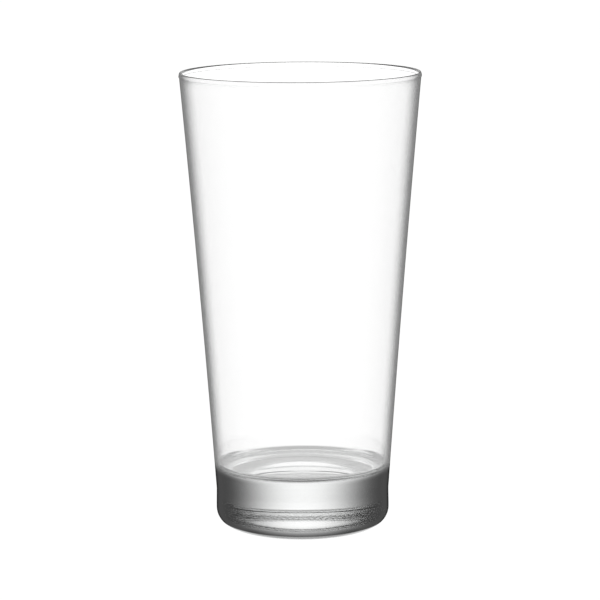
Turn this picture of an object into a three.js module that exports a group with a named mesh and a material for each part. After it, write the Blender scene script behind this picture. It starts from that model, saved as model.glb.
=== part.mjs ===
// A bartender's mixing glass: one piece of clear glass with a thin conical wall, a rounded
// rim, a thick solid base and a short straight foot with a rounded heel.
// Millimetres, +Z up. The origin is the centre of the face that the glass rests on.

import * as THREE from "three";

// Driving dimensions: outside
const HEIGHT = 167.4;
const RIM_RADIUS = 44; // outside of the rim
const RIM_THICKNESS = 1.15;
const RIM_ROUND = 1.6; // height of the rounded top of the rim
const LIP_BLEND = 2.2; // height over which the wall runs into the rim
const SHOULDER_HEIGHT = 163.8; // top of the plain wall
const SHOULDER_RADIUS = 43.64;
const FOOT_RADIUS = 31.9;
const WAIST_HEIGHT = 13.5; // where the straight foot meets the cone
const WAIST_DEPTH = 0.08; // how far the waist lies inside the foot
const WALL_BOW = 0.34; // how far the cone's side curves in at its middle

// Heel and underside
const HEEL_WIDTH = 6.3;
const HEEL_HEIGHT = 6.4;
const BEARING_WIDTH = 3.5; // flat ring that the glass stands on
const PUSH_UP = 1.5; // hollow under the base, on the axis

// Inside
const WALL_AT_RIM = 1.1;
const WALL_AT_FLOOR = 1.5;
const WALL_TAPER = 3; // how late the wall thickens on its way down
const FLOOR_HEIGHT = 21.5;
const FLOOR_RADIUS = 25.5; // where the level floor turns up into the corner
const DOME_RADIUS = 17.75; // the low dome in the middle of the floor
const DOME_HEIGHT = 0.4;
const CORNER_HEIGHT = 3;
const CORNER_REACH = 0.5; // the corner's curve handles, as shares of its size

const AROUND = 72;
const CLEAR_GLASS = { color: 0xf4f7f7, roughness: 0.03, metalness: 0, transparent: true, opacity: 0.35 };

const BEARING_OUTER = FOOT_RADIUS - HEEL_WIDTH;
const BEARING_INNER = BEARING_OUTER - BEARING_WIDTH;
const CORNER_TOP = FLOOR_HEIGHT + CORNER_HEIGHT;

const { lerp, degToRad } = THREE.MathUtils;

// Numbers spread evenly from one to another, both ends included.
function spread(from, to, steps) {
  return Array.from({ length: steps + 1 }, (_, i) => lerp(from, to, i / steps));
}

// Points of an elliptical arc between two angles in degrees, both ends included.
function arc(centre, width, height, startAngle, endAngle, steps) {
  return spread(startAngle, endAngle, steps).map((degrees) => {
    const angle = degToRad(degrees);
    return new THREE.Vector2(centre.x + width * Math.cos(angle), centre.y + height * Math.sin(angle));
  });
}

// Outside radius of the cone at a height: a straight side with a slight inward bow.
function coneRadius(z) {
  const t = (z - WAIST_HEIGHT) / (SHOULDER_HEIGHT - WAIST_HEIGHT);
  const straight = lerp(FOOT_RADIUS - WAIST_DEPTH, SHOULDER_RADIUS, t);
  return straight - WALL_BOW * 4 * t * (1 - t);
}

// Inside radius at a height: the wall grows a little thicker towards the base.
function boreRadius(z) {
  const down = (SHOULDER_HEIGHT - z) / (SHOULDER_HEIGHT - FLOOR_HEIGHT);
  return coneRadius(z) - lerp(WALL_AT_RIM, WALL_AT_FLOOR, down ** WALL_TAPER);
}

// The hollow under the base: a shallow dome from the axis out to the bearing ring.
function undersideProfile() {
  return spread(0, BEARING_INNER, 8).map(
    (r) => new THREE.Vector2(r, PUSH_UP * (1 - (r / BEARING_INNER) ** 2)),
  );
}

function heelProfile() {
  return arc(new THREE.Vector2(BEARING_OUTER, HEEL_HEIGHT), HEEL_WIDTH, HEEL_HEIGHT, -90, 0, 9);
}

function outsideProfile() {
  return spread(WAIST_HEIGHT, SHOULDER_HEIGHT, 7).map((z) => new THREE.Vector2(coneRadius(z), z));
}

function rimProfile() {
  const centre = new THREE.Vector2(RIM_RADIUS - RIM_THICKNESS / 2, HEIGHT - RIM_ROUND);
  return arc(centre, RIM_THICKNESS / 2, RIM_ROUND, 0, 180, 8);
}

// The inside wall, from under the rim down to the top of the corner.
function boreProfile() {
  const start = HEIGHT - RIM_ROUND - LIP_BLEND;
  return spread(start, CORNER_TOP, 7).map((z) => new THREE.Vector2(boreRadius(z), z));
}

// The rounded corner, which leaves the wall along the wall's direction and meets the floor level.
function cornerProfile() {
  const top = new THREE.Vector2(boreRadius(CORNER_TOP), CORNER_TOP);
  const foot = new THREE.Vector2(FLOOR_RADIUS, FLOOR_HEIGHT);
  const down = new THREE.Vector2(boreRadius(CORNER_TOP - 1) - top.x, -1).normalize();
  const wallHandle = top.clone().addScaledVector(down, CORNER_REACH * CORNER_HEIGHT);
  const floorHandle = new THREE.Vector2(FLOOR_RADIUS + CORNER_REACH * top.distanceTo(foot), FLOOR_HEIGHT);
  return new THREE.CubicBezierCurve(top, wallHandle, floorHandle, foot).getPoints(9).slice(1);
}

// The floor from the foot of the corner to the axis: a level ring, then a low smooth dome.
function floorProfile() {
  return spread(DOME_RADIUS, 0, 9).map((r) => {
    const rise = DOME_HEIGHT * (1 - (r / DOME_RADIUS) ** 2) ** 2;
    return new THREE.Vector2(r, FLOOR_HEIGHT + rise);
  });
}

// The closed outline, from the axis under the base, up the outside, over the rim and
// down the inside to the axis again.
function glassProfile() {
  return [
    ...undersideProfile(),
    ...heelProfile(),
    ...outsideProfile(),
    ...rimProfile(),
    ...boreProfile(),
    ...cornerProfile(),
    ...floorProfile(),
  ];
}

// A turned solid whose axis is +Z.
function turned(profile) {
  return new THREE.LatheGeometry(profile, AROUND).rotateX(Math.PI / 2);
}

function glassBody() {
  const mesh = new THREE.Mesh(turned(glassProfile()), new THREE.MeshStandardMaterial(CLEAR_GLASS));
  mesh.name = "glass_body";
  return mesh;
}

const mixingGlass = new THREE.Group();
mixingGlass.add(glassBody());

export default mixingGlass;
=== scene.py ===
import math

import bpy
from mathutils import Matrix, Vector


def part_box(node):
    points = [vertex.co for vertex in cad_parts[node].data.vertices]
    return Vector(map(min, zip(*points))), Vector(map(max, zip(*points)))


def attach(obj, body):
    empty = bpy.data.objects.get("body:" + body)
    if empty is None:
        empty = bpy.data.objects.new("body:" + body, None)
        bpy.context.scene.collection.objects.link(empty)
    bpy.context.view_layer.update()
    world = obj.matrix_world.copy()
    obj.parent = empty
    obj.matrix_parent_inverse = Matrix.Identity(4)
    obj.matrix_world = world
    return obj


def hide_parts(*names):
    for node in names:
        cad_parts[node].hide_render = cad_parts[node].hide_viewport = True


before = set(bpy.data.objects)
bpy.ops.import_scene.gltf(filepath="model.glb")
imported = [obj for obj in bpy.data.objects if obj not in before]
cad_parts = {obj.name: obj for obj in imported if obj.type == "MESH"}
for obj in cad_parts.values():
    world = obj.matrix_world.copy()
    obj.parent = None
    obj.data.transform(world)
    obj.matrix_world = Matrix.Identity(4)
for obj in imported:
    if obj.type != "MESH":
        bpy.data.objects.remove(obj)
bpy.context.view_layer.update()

# A clear mixing glass. Metres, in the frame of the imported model: +Z up, with the origin at
# the centre of the face that the glass rests on.

MM = 0.001
BOX_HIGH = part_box("glass_body")[1]

# The glass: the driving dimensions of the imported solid, to within a twentieth of a millimetre,
# drawn with a much finer surface
HEIGHT = BOX_HIGH.z
RIM_RADIUS = BOX_HIGH.x
RIM_THICKNESS = 1.15 * MM
RIM_ROUND = 1.6 * MM
LIP_START = 1.8 * MM
LIP_END = 3.8 * MM
SHOULDER_HEIGHT = 163.85 * MM
SHOULDER_RADIUS = 43.64 * MM
FOOT_RADIUS = 31.9 * MM
WAIST_HEIGHT = 13.5 * MM
WAIST_DEPTH = 0.08 * MM
WALL_BOW = 0.34 * MM
HEEL_WIDTH = 6.3 * MM
HEEL_HEIGHT = 6.4 * MM
BEARING_WIDTH = 3.5 * MM
PUSH_UP = 1.5 * MM
WALL_AT_RIM = 1.1 * MM
WALL_AT_FLOOR = 1.5 * MM
WALL_TAPER = 3
FLOOR_HEIGHT = 21.5 * MM
FLOOR_RADIUS = 25.5 * MM
DOME_RADIUS = 17.75 * MM
DOME_HEIGHT = 0.4 * MM
CORNER_HEIGHT = 3 * MM
CORNER_REACH = 0.5

BEARING_OUTER = FOOT_RADIUS - HEEL_WIDTH
BEARING_INNER = BEARING_OUTER - BEARING_WIDTH
CORNER_TOP = FLOOR_HEIGHT + CORNER_HEIGHT

# How finely the outline is drawn, and the whole glass round its axis
WALL_STEPS = 60
CORNER_STEPS = 48
RIM_STEPS = 40
HEEL_STEPS = 36
DOME_STEPS = 30
BLEND_IN_STEPS = 12
BLEND_OUT_STEPS = 4
FOOT_STEPS = 8
LEVEL_STEPS = 8
RING_STEPS = 6
AROUND = 288

# The camera: a long lens, a little above the rim and looking slightly down
CAMERA_DISTANCE = 1.0
CAMERA_HEIGHT = 0.2532
CAMERA_SIDE = -0.54 * MM
CAMERA_PITCH = 9.626
CAMERA_ROLL = -0.34
CAMERA_LENS = 165.95
CAMERA_SENSOR = 36

# Painted shade on the skin of the glass, darkening its edges. A value of 1 lets all the light in.
# It falls to the lowest value below as the skin is seen from a little to nearly edge-on: 0 is square
# on, and 1 is edge-on.
EDGE_FROM = 0.5
EDGE_TO = 0.83
EDGE_PAINTED_SHADE = 0.01
EDGE_POWER = 1.5

# Painted shade on the thick base: its side darkens from the middle outwards, and less so on the heel.
# This painted shade fades out between two heights.
BASE_SHADE = 16
BASE_FALL = 1.35
HEEL_SHADE = 0.6
SHADE_FROM = 20.5 * MM
SHADE_TO = 24 * MM

# Painted shade on the underside and the lowest part of the heel, which lie in the glass's own shade
RING_PAINTED_SHADE = 0.1
RING_TOP = 2.5 * MM
RING_FADE = 0.5 * MM

# What parts the outer skin from the inner: a cone that runs up inside the wall, given by its
# slope and by its radius at the height of the table
SKIN_SLOPE = 0.0786
SKIN_FROM = 29.8 * MM
SKIN_TO = 30.3 * MM

# Painted shade in a faint grey coat on the outer skin, through which an edge-on view passes a longer
# way, so that it darkens the edges and the base's side
COAT_PAINTED_SHADE = 0.88
COAT_ON_WAY_OUT = 0.35
BASE_COAT_PAINTED_SHADE = 0.66
BASE_COAT_SQUARE_ON = 0.15
BASE_COAT_FULL = 0.6  # seen this edge-on or more, the base has its whole coat

# The body of the glass and the relief of its surface
GLASS_IOR = 1.52
ABSORPTION = 1.3
ABSORPTION_COLOUR = (0, 0.1, 0.05, 1)
RIPPLE_SCALE = 45
RIPPLE_DEPTH = 0.004 * MM
STIPPLE_RAYS = 150
STIPPLE_DEPTH = 0.05 * MM
STIPPLE_TOP = 0.4 * MM

# The studio: soft light, the same all the way round, and dimmer under the glass, in its shade
TENT_RADIUS = 2.2
TENT_SIDES = 64
TENT_RINGS = 32
TENT_GLOW = 1.25
SHADE_BELOW = -50
SHADE_EDGE = 6
SHADE_GLOW = 0.45
BACKGROUND = 1.15  # lights the floor, and is seen past its end
BACKGROUND_COLOUR = (1, 1, 1, 1)
FLOOR_SIZE = 9
FLOOR_DROP = 0.1 * MM  # keeps the floor clear of the ring that the glass stands on
FLOOR_COLOUR = (0.9, 0.9, 0.9, 1)

# Light has to find its way through the thick base
BOUNCES = 32
GLOSSY_BOUNCES = 16


def lerp(a, b, t):
    return a + (b - a) * t


def spread(start, end, steps):
    """Numbers from start to end, both included."""
    return [lerp(start, end, i / steps) for i in range(steps + 1)]


# ---------------------------------------------------------------- outline of the glass


def cone_radius(z):
    """Outside of the cone: a straight side with a slight inward bow."""
    t = (z - WAIST_HEIGHT) / (SHOULDER_HEIGHT - WAIST_HEIGHT)
    straight = lerp(FOOT_RADIUS - WAIST_DEPTH, SHOULDER_RADIUS, t)
    return straight - WALL_BOW * 4 * t * (1 - t)


def bore_radius(z):
    """Inside of the cone: the wall grows a little thicker towards the base."""
    t = (SHOULDER_HEIGHT - z) / (SHOULDER_HEIGHT - FLOOR_HEIGHT)
    return cone_radius(z) - lerp(WALL_AT_RIM, WALL_AT_FLOOR, max(t, 0) ** WALL_TAPER)


def along(radius_at, z):
    """Unit direction up a wall at a height."""
    return Vector((radius_at(z + MM) - radius_at(z), MM)).normalized()


def curve(start, start_handle, end_handle, end, steps):
    """Points of a cubic Bezier curve, without the first."""
    points = []
    for t in spread(0, 1, steps)[1:]:
        s = 1 - t
        p = start * s**3 + start_handle * (3 * s * s * t) + end_handle * (3 * s * t * t) + end * t**3
        points.append((p.x, p.y))
    return points


def blend(start, start_way, end, end_way, steps):
    """A curve that leaves one point and reaches another along given directions."""
    reach = (end - start).length / 3
    return curve(start, start + start_way * reach, end - end_way * reach, end, steps)


def underside():
    """The shallow hollow, then the flat ring that the glass stands on."""
    dome = [(r, PUSH_UP * (1 - (r / BEARING_INNER) ** 2)) for r in spread(0, BEARING_INNER, DOME_STEPS)]
    ring = [(r, 0.0) for r in spread(BEARING_INNER, BEARING_OUTER, RING_STEPS)]
    return dome + ring[1:]


def heel():
    """The rounded edge of the base."""
    turns = [math.radians(degrees) for degrees in spread(0, 90, HEEL_STEPS)[1:]]
    return [(BEARING_OUTER + HEEL_WIDTH * math.sin(a), HEEL_HEIGHT * (1 - math.cos(a))) for a in turns]


def foot():
    """The straight foot, easing in to the waist."""
    points = []
    for t in spread(0, 1, FOOT_STEPS)[1:]:
        ease = t * t * (3 - 2 * t)
        points.append((FOOT_RADIUS - WAIST_DEPTH * ease, lerp(HEEL_HEIGHT, WAIST_HEIGHT, t)))
    return points


def outside():
    """The cone's side, up to where the rim begins."""
    top = HEIGHT - LIP_START
    return [(cone_radius(z), z) for z in spread(WAIST_HEIGHT, top, WALL_STEPS)[1:]]


def rim():
    """The rounded top of the wall, with short blends from the outside and to the inside."""
    half = RIM_THICKNESS / 2
    centre = Vector((RIM_RADIUS - half, HEIGHT - RIM_ROUND))
    turns = [math.radians(degrees) for degrees in spread(0, 180, RIM_STEPS)]
    round_top = [(centre.x + half * math.cos(a), centre.y + RIM_ROUND * math.sin(a)) for a in turns]
    up = Vector((0, 1))
    out_z = HEIGHT - LIP_START
    out_wall = Vector((cone_radius(out_z), out_z))
    lead = blend(out_wall, along(cone_radius, out_z), Vector(round_top[0]), up, BLEND_OUT_STEPS)
    in_z = HEIGHT - LIP_END
    in_wall = Vector((bore_radius(in_z), in_z))
    tail = blend(Vector(round_top[-1]), -up, in_wall, -along(bore_radius, in_z), BLEND_IN_STEPS)
    return lead[:-1] + round_top + tail


def corner():
    """The rounded corner from the inside wall down to the level floor."""
    top = Vector((bore_radius(CORNER_TOP), CORNER_TOP))
    foot_of_corner = Vector((FLOOR_RADIUS, FLOOR_HEIGHT))
    wall_handle = top - along(bore_radius, CORNER_TOP) * CORNER_REACH * CORNER_HEIGHT
    floor_handle = foot_of_corner + Vector((CORNER_REACH * (top - foot_of_corner).length, 0))
    return curve(top, wall_handle, floor_handle, foot_of_corner, CORNER_STEPS)


def floor_of_bowl():
    """A level ring, then a low smooth dome to the axis."""
    level = [(r, FLOOR_HEIGHT) for r in spread(FLOOR_RADIUS, DOME_RADIUS, LEVEL_STEPS)[1:]]
    dome = []
    for r in spread(DOME_RADIUS, 0, DOME_STEPS)[1:]:
        dome.append((r, FLOOR_HEIGHT + DOME_HEIGHT * (1 - (r / DOME_RADIUS) ** 2) ** 2))
    return level + dome


def inside():
    """The inside wall, the corner and the floor, from the top down."""
    wall = [(bore_radius(z), z) for z in spread(HEIGHT - LIP_END, CORNER_TOP, WALL_STEPS)[1:]]
    return wall + corner() + floor_of_bowl()


def glass_outline():
    """From the axis under the base, up the outside, over the rim and down the inside to the axis."""
    return underside() + heel() + foot() + outside() + rim() + inside()


def lathe(name, outline, around):
    """A closed mesh turned round Z. The outline starts and ends on the axis."""
    verts = [(0, 0, outline[0][1])]
    for r, z in outline[1:-1]:
        for j in range(around):
            a = 2 * math.pi * j / around
            verts.append((r * math.cos(a), r * math.sin(a), z))
    verts.append((0, 0, outline[-1][1]))
    last = len(verts) - 1
    faces = []
    for j in range(around):
        k = (j + 1) % around
        faces.append((0, 1 + k, 1 + j))
        for i in range(len(outline) - 3):
            low, high = 1 + i * around, 1 + (i + 1) * around
            faces.append((low + j, low + k, high + k, high + j))
        faces.append((last - around + j, last - around + k, last))
    mesh = bpy.data.meshes.new(name)
    mesh.from_pydata(verts, [], faces)
    mesh.polygons.foreach_set("use_smooth", [True] * len(mesh.polygons))
    mesh.update()
    piece = bpy.data.objects.new(name, mesh)
    bpy.context.scene.collection.objects.link(piece)
    return piece


# ---------------------------------------------------------------- materials


class Nodes:
    """The node tree of a material or a world, with short ways to add to it."""

    def __init__(self, owner):
        owner.use_nodes = True
        self.tree = owner.node_tree

    def add(self, kind, **settings):
        node = self.tree.nodes.new(kind)
        for key, value in settings.items():
            setattr(node, key, value)
        return node

    def link(self, out, into):
        self.tree.links.new(out, into)

    def math(self, operation, *values):
        """The result of one operation on numbers or sockets."""
        node = self.add("ShaderNodeMath", operation=operation)
        for socket, value in zip(node.inputs, values):
            if isinstance(value, (int, float)):
                socket.default_value = value
            else:
                self.link(value, socket)
        return node.outputs[0]

    def times(self, first, *others):
        for other in others:
            first = self.math("MULTIPLY", first, other)
        return first

    def one_less(self, value):
        """One minus a value."""
        return self.math("SUBTRACT", 1, value)

    def remap(self, value, low, high, to_low, to_high):
        """A smooth step between two numbers, as a value goes from low to high."""
        node = self.add("ShaderNodeMapRange", interpolation_type="SMOOTHSTEP")
        self.link(value, node.inputs["Value"])
        node.inputs["From Min"].default_value = low
        node.inputs["From Max"].default_value = high
        node.inputs["To Min"].default_value = to_low
        node.inputs["To Max"].default_value = to_high
        return node.outputs[0]

    def grey(self, value):
        """A neutral colour of the given brightness."""
        colour = self.add("ShaderNodeCombineColor")
        for channel in colour.inputs:
            self.link(value, channel)
        return colour.outputs[0]

    def place(self):
        """X, Y and Z on the object."""
        split = self.add("ShaderNodeSeparateXYZ")
        self.link(self.add("ShaderNodeTexCoord").outputs["Object"], split.inputs[0])
        return split.outputs


def surface_relief(nodes):
    """Very soft ripples all over, and fine radial stippling on the ring that the glass stands on."""
    ripples = nodes.add("ShaderNodeTexNoise")
    nodes.link(nodes.add("ShaderNodeTexCoord").outputs["Object"], ripples.inputs["Vector"])
    ripples.inputs["Scale"].default_value = RIPPLE_SCALE
    ripples.inputs["Detail"].default_value = 1
    x, y, z = nodes.place()
    rays = nodes.math("SINE", nodes.times(nodes.math("ARCTAN2", y, x), STIPPLE_RAYS))
    on_ring = nodes.remap(z, 0, STIPPLE_TOP, 1, 0)
    stipple = nodes.times(rays, on_ring, STIPPLE_DEPTH / 2)
    height = nodes.math("ADD", nodes.times(ripples.outputs["Fac"], RIPPLE_DEPTH), stipple)
    bump = nodes.add("ShaderNodeBump")
    bump.inputs["Distance"].default_value = 1
    nodes.link(height, bump.inputs["Height"])
    return bump.outputs[0]


def outer_skin(nodes):
    """1 on the outside of the glass, and 0 on the inside and underneath."""
    x, y, z = nodes.place()
    across = nodes.math("SQRT", nodes.math("ADD", nodes.times(x, x), nodes.times(y, y)))
    at_table = nodes.math("SUBTRACT", across, nodes.times(z, SKIN_SLOPE))
    return nodes.remap(at_table, SKIN_FROM, SKIN_TO, 0, 1)


def painted_edge_shade(nodes, facing, outer):
    """The outer skin's painted shade, which darkens it only where it is seen nearly edge-on."""
    painted_edge = nodes.math("POWER", nodes.remap(facing, EDGE_FROM, EDGE_TO, 1, EDGE_PAINTED_SHADE), EDGE_POWER)
    return nodes.one_less(nodes.times(outer, nodes.one_less(painted_edge)))


def painted_base_shade(nodes, facing, height, share):
    """The painted shade round the side of the base, which darkens from the middle outwards. The share
    says how far a place belongs to that side."""
    on_heel = nodes.remap(height, 0, HEEL_HEIGHT, HEEL_SHADE, 1)
    depth = nodes.times(nodes.math("POWER", facing, BASE_FALL), share, on_heel, -BASE_SHADE)
    return nodes.math("EXPONENT", depth)


def coat_weight(nodes, facing, entering, outer, base):
    """How much of the coat's painted shade there is: less for light on its way out of the glass, and
    little on the base where it is seen square on."""
    each_way = nodes.remap(entering, 0, 1, COAT_ON_WAY_OUT, 1)
    missing = nodes.remap(facing, 0, BASE_COAT_FULL, 1 - BASE_COAT_SQUARE_ON, 0)
    return nodes.times(outer, each_way, nodes.one_less(nodes.times(missing, base)))


def paint_skin(nodes, shader):
    """The painted shade of the skin, in its colour and in its coat."""
    facing = nodes.add("ShaderNodeLayerWeight").outputs["Facing"]
    entering = nodes.one_less(nodes.add("ShaderNodeNewGeometry").outputs["Backfacing"])
    height = nodes.place()["Z"]
    outer = outer_skin(nodes)
    base = nodes.remap(height, SHADE_FROM, SHADE_TO, 1, 0)
    # painted shade at the edges of the outer skin
    edge = painted_edge_shade(nodes, facing, outer)
    # painted shade round the side of the base
    side = painted_base_shade(nodes, facing, height, nodes.times(outer, entering, base))
    # painted shade on the underside and the lowest part of the heel
    ring = nodes.remap(height, RING_TOP - RING_FADE, RING_TOP, RING_PAINTED_SHADE, 1)
    nodes.link(nodes.grey(nodes.times(edge, side, ring)), shader.inputs["Base Color"])
    # painted shade in the coat: its weight, and a grey tint that is darker on the base
    nodes.link(coat_weight(nodes, facing, entering, outer, base), shader.inputs["Coat Weight"])
    coat_shade = nodes.remap(height, SHADE_FROM, SHADE_TO, BASE_COAT_PAINTED_SHADE, COAT_PAINTED_SHADE)
    nodes.link(nodes.grey(coat_shade), shader.inputs["Coat Tint"])


def clear_glass():
    """Clear glass with painted shade on its skin, and a faintly absorbing body."""
    material = bpy.data.materials.new("clear_glass")
    nodes = Nodes(material)
    shader = nodes.tree.nodes["Principled BSDF"]
    shader.inputs["Roughness"].default_value = 0
    shader.inputs["IOR"].default_value = GLASS_IOR
    shader.inputs["Transmission Weight"].default_value = 1
    # The coat only absorbs, as painted shade: with an IOR of 1 it has no shine of its own
    shader.inputs["Coat IOR"].default_value = 1
    shader.inputs["Coat Roughness"].default_value = 0
    paint_skin(nodes, shader)
    nodes.link(surface_relief(nodes), shader.inputs["Normal"])
    body = nodes.add("ShaderNodeVolumeAbsorption")
    body.inputs["Color"].default_value = ABSORPTION_COLOUR
    body.inputs["Density"].default_value = ABSORPTION
    nodes.link(body.outputs[0], nodes.tree.nodes["Material Output"].inputs["Volume"])
    return material


# ---------------------------------------------------------------- studio


def make_camera():
    """Looks level along +Y, then tilts down and rolls a little."""
    data = bpy.data.cameras.new("camera")
    data.lens = CAMERA_LENS
    data.sensor_width = CAMERA_SENSOR
    camera = bpy.data.objects.new("camera", data)
    bpy.context.scene.collection.objects.link(camera)
    camera.location = (CAMERA_SIDE, -CAMERA_DISTANCE, CAMERA_HEIGHT)
    tilt = Matrix.Rotation(math.radians(90 - CAMERA_PITCH), 3, "X")
    roll = Matrix.Rotation(math.radians(CAMERA_ROLL), 3, "Z")
    camera.rotation_euler = (tilt @ roll).to_euler()
    bpy.context.scene.camera = camera


def tent_material():
    """Lit fabric, the same all the way round. Its glow changes only with the angle above the
    horizon, in degrees."""
    material = bpy.data.materials.new("tent")
    nodes = Nodes(material)
    nodes.tree.nodes.clear()
    rise = nodes.math("ARCSINE", nodes.math("DIVIDE", nodes.place()["Z"], TENT_RADIUS))
    pitch = nodes.times(rise, math.degrees(1))
    glow = nodes.remap(pitch, SHADE_BELOW - SHADE_EDGE, SHADE_BELOW + SHADE_EDGE, SHADE_GLOW, TENT_GLOW)
    emission = nodes.add("ShaderNodeEmission")
    nodes.link(glow, emission.inputs["Strength"])
    nodes.link(emission.outputs[0], nodes.add("ShaderNodeOutputMaterial").inputs["Surface"])
    return material


def make_tent():
    """The lit surroundings: seen in the glass and through it, but not beside it."""
    bpy.ops.mesh.primitive_uv_sphere_add(segments=TENT_SIDES, ring_count=TENT_RINGS, radius=TENT_RADIUS)
    tent = bpy.context.object
    tent.name = "tent"
    tent.data.materials.append(tent_material())
    tent.visible_camera = False
    tent.visible_diffuse = False
    tent.visible_shadow = False


def make_floor():
    """A plain pale floor, which the glass doesn't reflect or show through itself."""
    bpy.ops.mesh.primitive_plane_add(size=FLOOR_SIZE, location=(0, 0, -FLOOR_DROP))
    floor = bpy.context.object
    floor.name = "floor"
    material = bpy.data.materials.new("floor")
    shader = Nodes(material).tree.nodes["Principled BSDF"]
    shader.inputs["Base Color"].default_value = FLOOR_COLOUR
    shader.inputs["Roughness"].default_value = 1
    shader.inputs["Specular IOR Level"].default_value = 0
    floor.data.materials.append(material)
    floor.visible_transmission = False
    floor.visible_glossy = False


def make_world():
    """The even white background."""
    world = bpy.data.worlds.new("studio")
    bpy.context.scene.world = world
    background = Nodes(world).tree.nodes["Background"]
    background.inputs["Color"].default_value = BACKGROUND_COLOUR
    background.inputs["Strength"].default_value = BACKGROUND


def set_light_paths():
    """Enough bounces for light to find its way through the thick base."""
    scene = bpy.context.scene
    scene.view_settings.view_transform = "Standard"
    scene.cycles.max_bounces = BOUNCES
    scene.cycles.transmission_bounces = BOUNCES
    scene.cycles.glossy_bounces = GLOSSY_BOUNCES


# ---------------------------------------------------------------- the object

glass = lathe("mixing_glass", glass_outline(), AROUND)
glass.data.materials.append(clear_glass())
glass.visible_diffuse = False
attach(glass, "root")
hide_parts("glass_body")

make_camera()
make_tent()
make_floor()
make_world()
set_light_paths()
